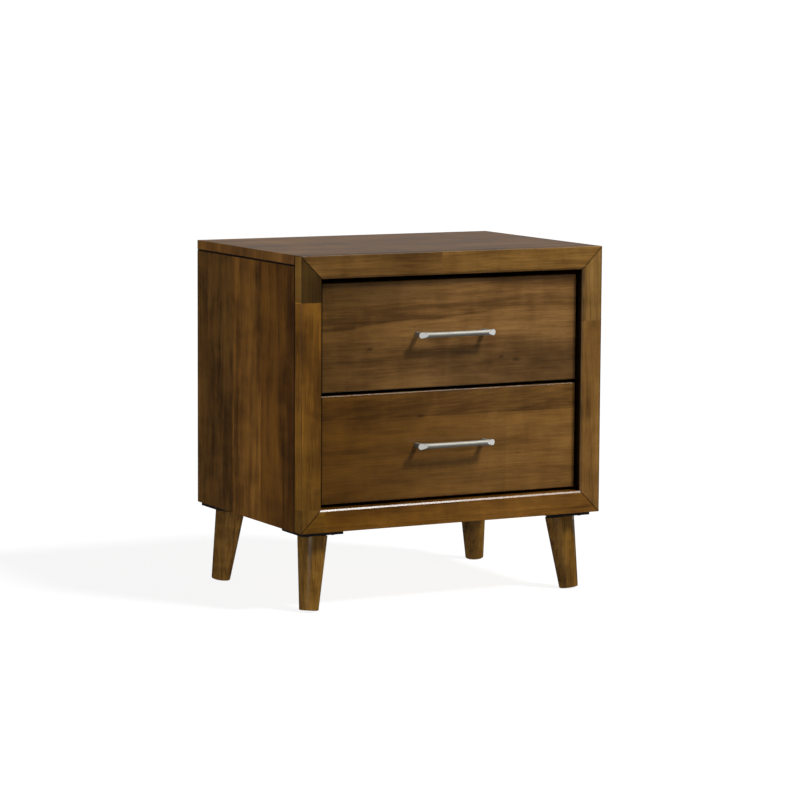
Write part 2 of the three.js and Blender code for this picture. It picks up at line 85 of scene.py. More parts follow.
# In reflections the dome goes from the first strength to the second towards its bright side, at
# the back right. The spread is the cosines of the angles where the change starts and ends.
DOME_IN_REFLECTIONS = (0.012, 0.215)
BRIGHT_SIDE = (0.47, 0.88, 0.0)
BRIGHT_SPREAD = (0.6, 0.93)
BACKDROP_POWER = 1.5
FLOOR_REACH = 60
FLOOR_TONE = 0.12
FLOOR_GLOW = 0.89
FLOOR_IN_REFLECTIONS = 0.015


def make_camera():
    """A long lens from the front left, a little above the top."""
    data = bpy.data.cameras.new("camera")
    data.sensor_width = SENSOR_WIDTH
    data.lens = VIEW_LENS
    data.clip_end = CLIP_END
    camera = bpy.data.objects.new("camera", data)
    back = Vector((math.sin(VIEW_AZIMUTH), -math.cos(VIEW_AZIMUTH), 0))
    right = Vector((math.cos(VIEW_AZIMUTH), math.sin(VIEW_AZIMUTH), 0))
    forward = -back * math.cos(VIEW_PITCH) - Vector((0, 0, math.sin(VIEW_PITCH)))
    up = right.cross(forward)
    turn = Matrix.Rotation(-VIEW_ROLL, 3, forward)
    right, up = turn @ right, turn @ up
    spin = Matrix((right, up, -forward)).transposed()
    place = back * VIEW_DISTANCE + right * VIEW_LATERAL
    place.z = VIEW_HEIGHT
    place.y += CASE_CENTRE_Y
    camera.matrix_world = Matrix.Translation(place) @ spin.to_4x4()
    bpy.context.scene.collection.objects.link(camera)
    bpy.context.scene.camera = camera


def add_key():
    """A soft key light from the front right."""
    data = bpy.data.lights.new("key", "SUN")
    data.energy = KEY_POWER
    data.angle = KEY_SPREAD
    light = bpy.data.objects.new("key", data)
    flat = math.cos(KEY_ELEVATION)
    source = Vector((math.sin(KEY_AZIMUTH) * flat, -math.cos(KEY_AZIMUTH) * flat,
                     math.sin(KEY_ELEVATION)))
    light.rotation_euler = source.to_track_quat("Z", "Y").to_euler()
    bpy.context.scene.collection.objects.link(light)


def add_panels():
    """Dim upright panels at the sides, which draw highlights on round parts and along edges."""
    for name, azimuth, width, height, middle, distance, power in PANELS:
        data = bpy.data.lights.new(name, "AREA")
        data.shape = "RECTANGLE"
        data.size, data.size_y = width, height
        data.energy = power
        light = bpy.data.objects.new(name, data)
        source = Vector((math.sin(azimuth), -math.cos(azimuth), 0))
        light.location = source * distance + Vector((0, 0, middle))
        light.rotation_euler = source.to_track_quat("Z", "Y").to_euler()
        light.visible_camera = False
        bpy.context.scene.collection.objects.link(light)


def make_world():
    """A dim, even dome for fill, brighter behind in reflections, in front of a plain white backdrop."""
    world = bpy.data.worlds.new("studio")
    bpy.context.scene.world = world
    world.use_nodes = True
    tree = world.node_tree
    tree.nodes.clear()

    def background(strength):
        node = tree.nodes.new("ShaderNodeBackground")
        node.inputs["Strength"].default_value = strength
        return node

    def either(choice, first, second):
        node = tree.nodes.new("ShaderNodeMixShader")
        for socket, output in zip(node.inputs, (choice, first, second)):
            tree.links.new(output, socket)
        return node.outputs[0]

    dome, reflected, backdrop = background(DOME_POWER), background(1.0), background(BACKDROP_POWER)
    for node in (dome, reflected):
        node.inputs["Color"].default_value = (*DOME_COLOUR, 1)
    direction = tree.nodes.new("ShaderNodeTexCoord")
    facing = tree.nodes.new("ShaderNodeVectorMath")
    facing.operation = "DOT_PRODUCT"
    facing.inputs[1].default_value = BRIGHT_SIDE
    tree.links.new(direction.outputs["Generated"], facing.inputs[0])
    strength = tree.nodes.new("ShaderNodeMapRange")
    strength.interpolation_type = "SMOOTHSTEP"
    limits = (*BRIGHT_SPREAD, *DOME_IN_REFLECTIONS)
    for name, number in zip(("From Min", "From Max", "To Min", "To Max"), limits):
        strength.inputs[name].default_value = number
    tree.links.new(facing.outputs["Value"], strength.inputs["Value"])
    tree.links.new(strength.outputs[0], reflected.inputs["Strength"])
    path = tree.nodes.new("ShaderNodeLightPath")
    seen = either(path.outputs["Is Glossy Ray"], dome.outputs[0], reflected.outputs[0])
    seen = either(path.outputs["Is Camera Ray"], seen, backdrop.outputs[0])
    out = tree.nodes.new("ShaderNodeOutputWorld")
    tree.links.new(seen, out.inputs["Surface"])


def make_floor():
    """A pale floor that glows a little, so that its shadows stay light; dark in reflections."""
    mesh = bpy.data.meshes.new("floor")
    signs = ((-1, -1), (1, -1), (1, 1), (-1, 1))
    mesh.from_pydata([(x * FLOOR_REACH, y * FLOOR_REACH, 0) for x, y in signs], [], [(0, 1, 2, 3)])
    floor = bpy.data.objects.new("floor", mesh)
    bpy.context.scene.collection.objects.link(floor)
    paint = Paint("floor_paper", roughness=0.9)
    paint.feed(paint.shader.inputs["Base Color"], (FLOOR_TONE,) * 3)
    paint.shader.inputs["Specular IOR Level"].default_value = 0.0
    paint.feed(paint.shader.inputs["Emission Color"], (1.0, 1.0, 1.0))
    paint.shader.inputs["Emission Strength"].default_value = FLOOR_GLOW
    dim = paint.tree.nodes.new("ShaderNodeEmission")
    dim.inputs["Strength"].default_value = FLOOR_IN_REFLECTIONS
    path = paint.tree.nodes.new("ShaderNodeLightPath")
    mix = paint.tree.nodes.new("ShaderNodeMixShader")
    out = next(n for n in paint.tree.nodes if n.type == "OUTPUT_MATERIAL")
    paint.link(path.outputs["Is Glossy Ray"], mix.inputs[0])
    paint.link(paint.shader.outputs[0], mix.inputs[1])
    paint.link(dim.outputs[0], mix.inputs[2])
    paint.link(mix.outputs[0], out.inputs["Surface"])
    mesh.materials.append(paint.material)


# ---- Material building ----
class Paint:
    """A Principled material with short calls for the nodes that these finishes use."""

    def __init__(self, name, roughness=0.5, metallic=0.0):
        self.material = bpy.data.materials.new(name)
        self.material.use_nodes = True
        self.tree = self.material.node_tree
        self.tree.nodes.clear()
        self.shader = self.tree.nodes.new("ShaderNodeBsdfPrincipled")
        out = self.tree.nodes.new("ShaderNodeOutputMaterial")
        self.link(self.shader.outputs[0], out.inputs["Surface"])
        self.shader.inputs["Roughness"].default_value = roughness
        self.shader.inputs["Metallic"].default_value = metallic
        place = self.tree.nodes.new("ShaderNodeTexCoord")
        self.place = place.outputs["Object"]
        split = self.tree.nodes.new("ShaderNodeSeparateXYZ")
        self.link(self.place, split.inputs[0])
        self.axes = {"X": split.outputs[0], "Y": split.outputs[1], "Z": split.outputs[2]}

    def link(self, output, socket):
        self.tree.links.new(output, socket)

    def feed(self, socket, value):
        """Links an output, or sets a plain value."""
        if isinstance(value, bpy.types.NodeSocket):
            self.link(value, socket)
        elif isinstance(value, (tuple, list)) and len(value) == 3 and socket.type == "RGBA":
            socket.default_value = (*value, 1)
        else:
            socket.default_value = value

    def node(self, kind, *values, **settings):
        """The output of a new node, with its settings and with its first inputs fed."""
        made = self.tree.nodes.new("ShaderNode" + kind)
        for name, setting in settings.items():
            setattr(made, name, setting)
        for socket, value in zip(made.inputs, values):
            self.feed(socket, value)
        return made.outputs[0]

    def math(self, operation, first, second=0.0, clamp=False):
        return self.node("Math", first, second, operation=operation, use_clamp=clamp)

    def times(self, first, second):
        return self.math("MULTIPLY", first, second)

    def plus(self, first, second, clamp=False):
        return self.math("ADD", first, second, clamp)

    def minus(self, first, second, clamp=False):
        return self.math("SUBTRACT", first, second, clamp)

    def fused(self, value, factor, added):
        """value times factor, plus added."""
        return self.node("Math", value, factor, added, operation="MULTIPLY_ADD")

    def scaled(self, colour, factor):
        """A colour times a number or another colour."""
        values = [(v, v, v) if isinstance(v, (int, float)) else v for v in (colour, factor)]
        return self.node("VectorMath", *values, operation="MULTIPLY")

    def remap(self, value, low, high, to_low=0.0, to_high=1.0, smooth=True):
        return self.node("MapRange", value, low, high, to_low, to_high,
                         interpolation_type="SMOOTHSTEP" if smooth else "LINEAR")

    def vector(self, x, y, z):
        return self.node("CombineXYZ", x, y, z)

    def noise(self, vector, scale=1.0, detail=3.0, roughness=0.5, distortion=0.0):
        node = self.tree.nodes.new("ShaderNodeTexNoise")
        self.feed(node.inputs["Vector"], vector)
        node.inputs["Scale"].default_value = scale
        node.inputs["Detail"].default_value = detail
        node.inputs["Roughness"].default_value = roughness
        node.inputs["Distortion"].default_value = distortion
        return node.outputs[0]

    def ramp(self, value, stops, constant=False):
        node = self.tree.nodes.new("ShaderNodeValToRGB")
        node.color_ramp.interpolation = "CONSTANT" if constant else "LINEAR"
        while len(node.color_ramp.elements) < len(stops):
            node.color_ramp.elements.new(0.5)
        for element, (position, colour) in zip(node.color_ramp.elements, stops):
            element.position = position
            if isinstance(colour, (int, float)):
                colour = (colour, colour, colour)
            element.color = (*colour, 1)
        self.feed(node.inputs[0], value)
        return node.outputs[0]

    def mix(self, factor, first, second, blend="MIX"):
        node = self.tree.nodes.new("ShaderNodeMix")
        node.data_type = "RGBA"
        node.blend_type = blend
        self.feed(node.inputs[0], factor)
        self.feed(node.inputs[6], first)
        self.feed(node.inputs[7], second)
        return node.outputs[2]

    def bump(self, height, strength, distance):
        node = self.tree.nodes.new("ShaderNodeBump")
        node.inputs["Strength"].default_value = strength
        node.inputs["Distance"].default_value = distance
        self.feed(node.inputs["Height"], height)
        self.link(node.outputs[0], self.shader.inputs["Normal"])


# Colours of the stained wood, dark to light, as linear values, and where they stand on the grain.
STAIN = ((0.020, 0.0082, 0.0009), (0.056, 0.0250, 0.0026),
         (0.100, 0.0470, 0.0055), (0.165, 0.0820, 0.0110))
STAIN_PLACES = (0.0, 0.36, 0.62, 1.0)
# Colours of the clear-sealed wood and the plywood inside, in the same order.
LIGHT_STAIN = ((0.26, 0.16, 0.075), (0.40, 0.27, 0.14), (0.50, 0.36, 0.20), (0.60, 0.45, 0.28))
PLY_STAIN = ((0.22, 0.14, 0.07), (0.33, 0.22, 0.12), (0.42, 0.29, 0.17), (0.50, 0.37, 0.23))
PORE = (0.012, 0.005, 0.001)
PORE_EDGE = (0.60, 0.74)
PORE_STRENGTH = 0.5
# Joints hold dark glaze: its tone, and how far from the joint it starts and stops fading.
JOINT_GLAZE = 0.10
JOINT_FADE = (0.35 * MM, 1.1 * MM)
GROOVE_GLAZE = 1.1 * MM
# Painted shade along the edges of a face set in a recess: its width and its tone at the edge.
RIM_WIDTH = 6 * MM
RIM_SHADE_TONE = 0.80
# Layers of grain: features per metre along and across it, detail, roughness and distortion.
GRAIN = {
    "broad": (2.0, 15.0, 3.0, 0.5, 0.5),
    "lines": (4.6, 85.0, 3.0, 0.6, 0.3),
    "fine": (13.0, 300.0, 3.0, 0.65, 0.0),
    "fibre": (16.0, 900.0, 2.0, 0.6, 0.0),
    "figure": (24.0, 9.0, 3.0, 0.55, 0.8),
    "pores": (60.0, 1900.0, 2.0, 0.5, 0.0),
}
DEPTH_SHARE = 0.35
BLOTCH_SCALE = (14.0, 26.0)
BEND_SCALE = (2.4, 7.0)
GRAIN_MIDDLE = 0.58
GRAIN_WEIGHTS = {"broad": 0.95, "lines": 0.62, "fine": 0.60,
                 "fibre": 0.42, "figure": 0.42, "blotch": 0.60}
BOARD_SHIFT = 31.0
LACQUER_SPECULAR = 0.20
COAT_WEIGHT = 0.55
COAT_ROUGHNESS = 0.21
SHEEN_CHANGE = 0.10
FINE_HEIGHT = 0.7
WOOD_BUMP = 0.22
WOOD_BUMP_DEPTH = 0.12 * MM


def board_tones(p, boards, tone, seed):
    """Tint and noise offset of the board that a point is on."""
    axis, low, high, stops = boards
    share = p.remap(p.axes[axis], low, high, smooth=False)
    board = p.ramp(share, stops, constant=True)
    numbers = [(position, index / len(stops)) for index, (position, _) in enumerate(stops)]
    number = p.ramp(share, numbers, constant=True)
    return p.scaled(board, 2 * tone), p.fused(number, BOARD_SHIFT, float(seed))


def veneer(name, along, across, seed, tone=1.0, boards=None, contrast=1.0, streaks=(), marks=(),
           seams=(), rim=None, shade=None, gloss=0.33, stain=STAIN, flow=0.010, coat=COAT_WEIGHT):
    """Stained, lacquered wood.

    along and across are the axes of the grain and of the width. boards is (axis, low, high, stops),
    where each stop is (share of the length, half tone) and starts a new board. Each streak is a
    function that takes the material and its layers of grain, and returns a darkness. marks are
    (x, y, z, size) of small dark spots. Each seam is a function that gives the distance to a joint
    that holds dark glaze. rim is (low corner, high corner, two axes) of a face set in a recess,
    whose edges get a little painted shade, and shade is a function that gives a last multiplier,
    which may carry painted light and shade as well as stain.
    """
    p = Paint(name, roughness=gloss)
    depth = ({"X", "Y", "Z"} - {along, across}).pop()
    u, v, w = p.axes[along], p.axes[across], p.axes[depth]
    tint, shift = (tone, float(seed))
    if boards:
        tint, shift = board_tones(p, boards, tone, seed)
    bend_along, bend_across = BEND_SCALE
    bend = p.noise(p.vector(p.fused(u, bend_along, shift), p.fused(v, bend_across, shift),
                            p.times(w, bend_across)), 1.0, 2.0)
    v = p.fused(p.minus(bend, 0.5), 2 * flow, v)

    def grain(layer):
        per_along, per_across, detail, roughness, distortion = GRAIN[layer]
        place = p.vector(p.fused(u, per_along, shift), p.fused(v, per_across, shift),
                         p.fused(w, per_across * DEPTH_SHARE, shift))
        return p.noise(place, 1.0, detail, roughness, distortion)

    layers = {layer: grain(layer) for layer in GRAIN}
    blotch_along, blotch_across = BLOTCH_SCALE
    blotch_place = p.vector(p.fused(u, blotch_along, shift), p.fused(v, blotch_across, shift), w)
    layers["blotch"] = p.noise(blotch_place, 1.0, 3.0, 0.6)
    amount = GRAIN_MIDDLE
    for layer, weight in GRAIN_WEIGHTS.items():
        change = p.times(p.minus(layers[layer], 0.5), weight * contrast)
        amount = p.plus(change, amount)
    for streak in streaks:
        amount = p.minus(amount, streak(p, layers))
    amount = p.plus(amount, 0.0, clamp=True)
    colour = p.ramp(amount, list(zip(STAIN_PLACES, stain)))
    dark_pores = p.remap(layers["pores"], *PORE_EDGE, 0.0, PORE_STRENGTH)
    colour = p.mix(dark_pores, colour, PORE)
    for x, y, z, size in marks:
        colour = p.mix(mark(p, along, (x, y, z), size, layers["lines"]), colour, PORE)
    # Painted shade along the edges of a face set in a recess.
    if rim:
        tint = p.scaled(tint, p.remap(nearest_edge(p, *rim), 0.0, RIM_WIDTH, RIM_SHADE_TONE, 1.0))
    if shade:
        tint = p.scaled(tint, shade(p))
    for seam in seams:
        tint = p.scaled(tint, p.remap(seam(p), *JOINT_FADE, JOINT_GLAZE, 1.0))
    p.link(p.scaled(colour, tint), p.shader.inputs["Base Color"])

    sheen = p.plus(p.times(layers["fibre"], SHEEN_CHANGE),
                   p.times(layers["blotch"], SHEEN_CHANGE))
    p.link(p.plus(sheen, gloss - SHEEN_CHANGE), p.shader.inputs["Roughness"])
    p.shader.inputs["Specular IOR Level"].default_value = LACQUER_SPECULAR
    p.shader.inputs["Coat Weight"].default_value = coat
    p.shader.inputs["Coat Roughness"].default_value = COAT_ROUGHNESS
    height = p.minus(p.times(layers["fine"], FINE_HEIGHT), dark_pores)
    p.bump(height, WOOD_BUMP, WOOD_BUMP_DEPTH)
    return p.material


SPOT_STRETCH = 0.45
SPOT_STRENGTH = 0.8


def mark(p, along, place, size, lines):
    """Strength of a small dark spot, longer along the grain, with an edge that follows its lines."""
    stretch = [SPOT_STRETCH if axis == along else 1.0 for axis in "XYZ"]
    gap = p.tree.nodes.new("ShaderNodeVectorMath")
    gap.operation = "DISTANCE"
    squeezed = [p.times(p.axes[axis], factor) for axis, factor in zip("XYZ", stretch)]
    p.link(p.vector(*squeezed), gap.inputs[0])
    gap.inputs[1].default_value = tuple(a * b for a, b in zip(place, stretch))
    reach = p.fused(lines, size * 0.9, size * 0.35)
    inside = p.minus(1.0, p.math("DIVIDE", gap.outputs["Value"], reach), clamp=True)
    return p.times(inside, SPOT_STRENGTH)


def nearest_edge(p, low, high, names):
    """Distance from the nearest edge of a face, measured along the two named axes."""
    nearest = None
    for axis in names:
        index = "XYZ".index(axis)
        near = p.math("MINIMUM", p.minus(p.axes[axis], low[index]),
                      p.minus(high[index], p.axes[axis]))
        nearest = near if nearest is None else p.math("MINIMUM", nearest, near)
    return nearest


def plain_wood(name, along, across, seed, stain, gloss=0.55, shade=None):
    """Clear-sealed light wood for the parts inside."""
    return veneer(name, along, across, seed, contrast=0.7, stain=stain, gloss=gloss, shade=shade,
                  coat=0.0)


WELD_DISTANCE = 0.01 * MM
EASED_ANGLE = math.radians(25)


def dress(node, material, bevel=0.0, segments=2):
    """Gives a CAD node its finish, and eases its edges with a modifier."""
    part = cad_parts[node]
    part.data.materials.clear()
    part.data.materials.append(material)
    if bevel:
        weld = part.modifiers.new("weld", "WELD")
        weld.merge_threshold = WELD_DISTANCE
        ease = part.modifiers.new("ease", "BEVEL")
        ease.width = bevel
        ease.segments = segments
        ease.limit_method = "ANGLE"
        ease.angle_limit = EASED_ANGLE
        ease.harden_normals = False


# ---- Veneers of the case ----
def curve_of(p, share, points, full):
    """A float curve from (share, value) points, with values up to a full scale."""
    node = p.tree.nodes.new("ShaderNodeFloatCurve")
    curve = node.mapping.curves[0]
    while len(curve.points) < len(points):
        curve.points.new(0.5, 0.5)
    for point, (x, y) in zip(curve.points, points):
        point.location = (x, y / full)
    node.mapping.update()
    p.link(share, node.inputs["Value"])
    return p.times(node.outputs[0], full)


# The heartwood band of the upper drawer front, as (share of the width, share of the height down
# from the top): its upper edge, its lower edge and the paler line inside it.
BAND_TOP = ((0.0, 0.205), (0.09, 0.215), (0.30, 0.21), (0.48, 0.215),
            (0.60, 0.20), (0.74, 0.165), (0.86, 0.165), (1.0, 0.20))
BAND_LOW = ((0.0, 0.455), (0.09, 0.445), (0.30, 0.38), (0.48, 0.375),
            (0.60, 0.345), (0.74, 0.295), (0.86, 0.285), (1.0, 0.305))
BAND_SPLIT = ((0.0, 0.30), (0.30, 0.285), (0.60, 0.27), (1.0, 0.26))
BAND_FULL = 0.5
BAND_WANDER = 0.05
BAND_RAGGED = 0.045
BAND_DARKNESS = (0.28, 0.15)
BAND_RIM_DARKNESS = 0.10

# The board along the top of the lower drawer front: its height at the left, how much that grows to
# the right, and the slant, scale and darkness of its streaks.
BOARD_HEIGHT = 44.3 * MM
BOARD_GROWTH = 3.6 * MM
BOARD_SLANT = -0.15
BOARD_STREAKS = (4.5, 110.0)
BOARD_STREAK_DARKNESS = 0.17
BOARD_DARKNESS = 0.055


def wavy_band(p, layers):
    """The dark heartwood band that climbs across the upper drawer front."""
    low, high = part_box("upper_drawer_front")
    share = p.remap(p.axes["X"], low.x, high.x, smooth=False)
    wander = p.fused(p.minus(layers["broad"], 0.5), BAND_WANDER, 0.0)
    ragged = p.fused(p.minus(layers["lines"], 0.5), BAND_RAGGED, wander)
    down = p.math("DIVIDE", p.minus(high.z, p.axes["Z"]), high.z - low.z)
    drop = p.plus(down, ragged)
    top = curve_of(p, share, BAND_TOP, BAND_FULL)
    bottom = curve_of(p, share, BAND_LOW, BAND_FULL)
    split = curve_of(p, share, BAND_SPLIT, BAND_FULL)
    inside = p.times(p.remap(p.minus(drop, top), -0.015, 0.03),
                     p.remap(p.minus(bottom, drop), -0.006, 0.022))
    from_split = p.math("ABSOLUTE", p.minus(drop, split))
    pale = p.math("MAXIMUM", p.remap(from_split, 0.0, 0.05, 0.45, 1.0),
                  p.remap(share, 0.0, 0.2, 0.55, 1.0))
    from_bottom = p.math("ABSOLUTE", p.minus(drop, bottom))
    rim = p.remap(from_bottom, 0.0, 0.05, BAND_RIM_DARKNESS, 0.0)
    depth = p.times(p.remap(layers["lines"], 0.3, 0.7, *BAND_DARKNESS),
                    p.remap(share, 0.40, 0.80, 1.0, 0.30))
    body = p.times(p.times(inside, pale), depth)
    return p.plus(body, p.times(rim, inside))


def top_band(p, layers):
    """The darker, streaked board along the top of the lower drawer front."""
    low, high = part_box("lower_drawer_front")
    share = p.remap(p.axes["X"], low.x, high.x, smooth=False)
    edge = p.fused(share, BOARD_GROWTH, BOARD_HEIGHT)
    drop = p.minus(high.z, p.axes["Z"])
    inside = p.remap(p.minus(edge, drop), -0.4 * MM, 0.4 * MM)
    climb = p.fused(p.axes["X"], BOARD_SLANT, p.axes["Z"])
    along, across = BOARD_STREAKS
    slant = p.vector(p.times(p.axes["X"], along), p.times(climb, across), 3.7)
    streaks = p.noise(slant, 1.0, 5.0, 0.65, 0.8)
    streak = p.remap(streaks, 0.36, 0.66, 0.0, BOARD_STREAK_DARKNESS)
    fading = p.remap(share, 0.35, 0.75, 0.7, 1.2)
    return p.times(inside, p.fused(streak, fading, BOARD_DARKNESS))


# Changes of tone along a face: where they start and stop, in metres from the face's low end, and
# the red, green and blue tones there. Across the drawer fronts and the bottom rail they are partly
# changes in the stain and partly painted light: darker to the left, away from the key light, and
# paler and bluer to the right, where sheen is painted in. Up the left stile the tone grows paler.
UPPER_STAIN_AND_LIGHT = (0.0, 0.30, (0.79, 0.76, 1.05), (1.53, 1.56, 3.4))
LOWER_STAIN_AND_LIGHT = (0.0, 0.40, (0.72, 0.60, 0.18), (1.17, 1.14, 1.80))
STILE_CLIMB = (0.06, 0.30, (1.0, 1.0, 0.9), (1.30, 1.24, 1.3))
RAIL_STAIN_AND_LIGHT = (0.05, 0.45, (0.74, 0.69, 0.20), (0.98, 0.97, 1.0))

# Tones multiply the stain, and 1 leaves it as it is. A shade is taken away from 1.
# Painted shade on the sides of the opening, behind the frame's face.
REVEAL_SHADE = 0.96
# Painted shade at the top left of the upper front, under the top rail.
UPPER_CORNER_SHADE = 0.33
RAIL_COAT = 0.16
# Painted shade on a drawer front's edges, in the gaps around it.
FRONT_EDGE_SHADE = 0.35
# A painted shadow along each drawer front's left edge, beside the left stile: where it starts and stops
# fading, and its tone.
LEFT_EDGE_SHADOW = (4.6 * MM, 6.6 * MM)
LEFT_EDGE_SHADOW_TONE = 0.13
TOP_SIDE_TONE = 1.22
# Painted light on a stile's outer side face, next to a dark line along the arris. The side of the left
# stile's dark end takes stronger painted light, so it stays as pale.
OUTER_SIDE_LIGHT = 1.9
OUTER_ARRIS_TONE = 0.55
DARK_END_SIDE_LIGHT = 5.2
# Painted shade on the divider's front face, which shows in the gap between the drawers.
DIVIDER_FRONT_SHADE = 0.02
# The dark end of the left stile and the joint in the lower front, as shares along their length.
DARK_END_SHARE = 0.83
LOWER_JOINT_SHARE = 0.724
# How far the modifiers ease the edges of each kind of part.
CASE_EASE = 0.35 * MM
FRONT_EASE = 0.5 * MM
PANEL_EASE = 0.3 * MM
BOX_EASE = 0.4 * MM
SLIDE_EASE = 0.2 * MM


def stain_and_light_ramp(p, axis, origin, ramp):
    """A colour multiplier that goes from one tone to another along an axis: changes in the stain, and
    on the drawer fronts and the bottom rail painted light as well.
    """
    start, end, first, last = ramp
    share = p.remap(p.axes[axis], origin + start, origin + end)
    return p.mix(share, first, last)


def with_stain_and_light_ramp(shade, *ramp):
    """Adds a ramp of stain and painted light to a shade function."""
    def both(p):
        colour = stain_and_light_ramp(p, *ramp)
        return p.scaled(colour, shade(p)) if shade else colour
    return both


def behind_face(p, face_y, tone):
    """A tone that changes 1 to 3 mm behind a front face, for painted shade on the edges of a drawer
    front and on the divider's front.
    """
    return p.remap(p.axes["Y"], face_y + 1 * MM, face_y + 3 * MM, *tone)


def shaded_front_edges(p, low):
    """Painted shade on a drawer front's edges behind its face, in the gaps around it, and a painted
    shadow along its left edge, beside the left stile.
    """
    # A painted shadow along the left edge, beside the left stile.
    start, end = LEFT_EDGE_SHADOW
    left = p.remap(p.axes["X"], low.x + start, low.x + end, LEFT_EDGE_SHADOW_TONE, 1.0)
    return p.times(behind_face(p, low.y, (1.0, FRONT_EDGE_SHADE)), left)


def upper_light(p):
    """Stain and painted light over the upper front: paler and bluer to the right, painted shade under
    the top rail towards the left, a darker foot to the right, and painted shade on its edges.
    """
    low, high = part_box("upper_drawer_front")
    across = stain_and_light_ramp(p, "X", low.x, UPPER_STAIN_AND_LIGHT)
    foot = p.remap(p.axes["X"], low.x + 0.12, low.x + 0.30, 0.92, 0.57)
    rise = p.remap(p.axes["Z"], low.z + 0.045, low.z + 0.11, foot, 1.0)
    # Painted shade under the top rail, towards the left.
    to_left = p.remap(p.axes["X"], low.x + 0.14, low.x + 0.30, 1.0, 0.0)
    to_top = p.remap(p.axes["Z"], high.z - 0.048, high.z - 0.030, 0.0, UPPER_CORNER_SHADE)
    corner = p.times(to_left, to_top)
    shade = p.times(rise, p.minus(1.0, corner))
    return p.scaled(across, p.times(shade, shaded_front_edges(p, low)))


def lower_light(p):
    """Stain and painted light over the lower front: paler just under the top board and to the right,
    where light is painted in by its ramp, and painted shade on its edges.
    """
    low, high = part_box("lower_drawer_front")
    across = stain_and_light_ramp(p, "X", low.x, LOWER_STAIN_AND_LIGHT)
    under = p.remap(p.axes["Z"], high.z - 0.0475, high.z - 0.0465, 1.0, 0.0)
    joint = low.x + LOWER_JOINT_SHARE * (high.x - low.x)
    past_joint = p.remap(p.axes["X"], joint - 0.5 * MM, joint + 0.5 * MM, 0.0, 0.12)
    strip = p.times(p.remap(p.axes["Z"], high.z - 0.085, high.z - 0.060, 0.0, 0.20),
                    p.remap(p.axes["X"], low.x + 0.12, low.x + 0.30))
    paler = p.plus(p.times(past_joint, under), p.times(strip, under))
    shade = p.plus(paler, 1.0)
    return p.scaled(across, p.times(shade, shaded_front_edges(p, low)))


def distance_to(axis, place):
    """Distance from the wide line of glaze held in the joint at a plane across an axis."""
    def distance(p):
        gap = p.math("ABSOLUTE", p.minus(p.axes[axis], place))
        return p.minus(gap, GROOVE_GLAZE)
    return distance


def mitre(side_x, side_z):
    """Distance from the mitre that runs in at 45 degrees from one corner of the case."""
    corner_x = side_x * TOP_HIGH.x
    corner_z = TOP_HIGH.z if side_z > 0 else CASE_BOTTOM

    def distance(p):
        in_x = p.times(p.minus(corner_x, p.axes["X"]), side_x)
        in_z = p.times(p.minus(corner_z, p.axes["Z"]), side_z)
        return p.times(p.math("ABSOLUTE", p.minus(in_x, in_z)), math.sqrt(0.5))
    return distance


def shaded_reveal(axis, edge, side, lit_side=0):
    """Painted shade on the sides of the opening, much darker than the faces.

    The last argument is a stile's side of the case, -1 or 1, whose outer face gets painted light; 0 for
    none.
    """
    def shade(p):
        past = p.times(p.minus(p.axes[axis], edge), side)
        inside = p.remap(past, -2.6 * MM, -1.2 * MM)
        deep = p.remap(p.axes["Y"], FRONT_Y + 1.2 * MM, FRONT_Y + 5 * MM)
        depth = p.times(p.times(inside, deep), REVEAL_SHADE)
        dark = p.minus(1.0, depth)
        return p.times(dark, lit_outer_side(p, lit_side)) if lit_side else dark
    return shade


def lit_outer_side(p, side):
    """Painted light on a stile's outer side, which comes out paler than its front, with a dark line at
    the arris between them.
    """
    out = p.times(p.axes["X"], side)
    pale = OUTER_SIDE_LIGHT
    # The left stile's dark end takes stronger painted light on its side face.
    if side < 0:
        start = CASE_BOTTOM + DARK_END_SHARE * (TOP_HIGH.z - CASE_BOTTOM)
        pale = p.remap(p.axes["Z"], start - 0.5 * MM, start + 0.5 * MM,
                       OUTER_SIDE_LIGHT, DARK_END_SIDE_LIGHT)
    edge = TOP_HIGH.x
    arris = p.remap(out, edge - 2.8 * MM, edge - 1.4 * MM, 1.0, OUTER_ARRIS_TONE)
    return p.remap(out, edge - 0.6 * MM, edge - 0.2 * MM, arris, pale)


def tones(*stops):
    """Board stops from (share, red, green, blue), where 1 leaves the stain as it is."""
    return [(share, (red / 2, green / 2, blue / 2)) for share, red, green, blue in stops]


# Boards of each veneered face, as shares along its length with their red, green and blue tone.
STILE_BOARDS = {
    "left": tones((0, 0.74, 0.69, 0.45), (0.085, 0.94, 0.86, 0.42),
                  (DARK_END_SHARE, 0.27, 0.285, 0.25)),
    "right": tones((0, 1.19, 1.16, 1.8), (0.30, 1.27, 1.27, 1.95), (0.72, 1.54, 1.68, 3.2)),
}
RAIL_BOARDS = {
    "top": tones((0, 0.87, 0.85, 1.36), (0.455, 1.27, 1.29, 2.0)),
    "bottom": tones((0, 0.95, 0.90, 0.74), (0.075, 1.04, 0.90, 0.74)),
}
TOP_BOARDS = tones((0, 1.5, 1.33, 1.5), (0.31, 1.38, 1.22, 1.45), (0.66, 1.56, 1.37, 1.5))
SIDE_BOARDS = tones((0, 1.22, 0.97, 0.45), (0.331, 1.74, 1.50, 1.3), (0.622, 1.02, 0.91, 0.85))

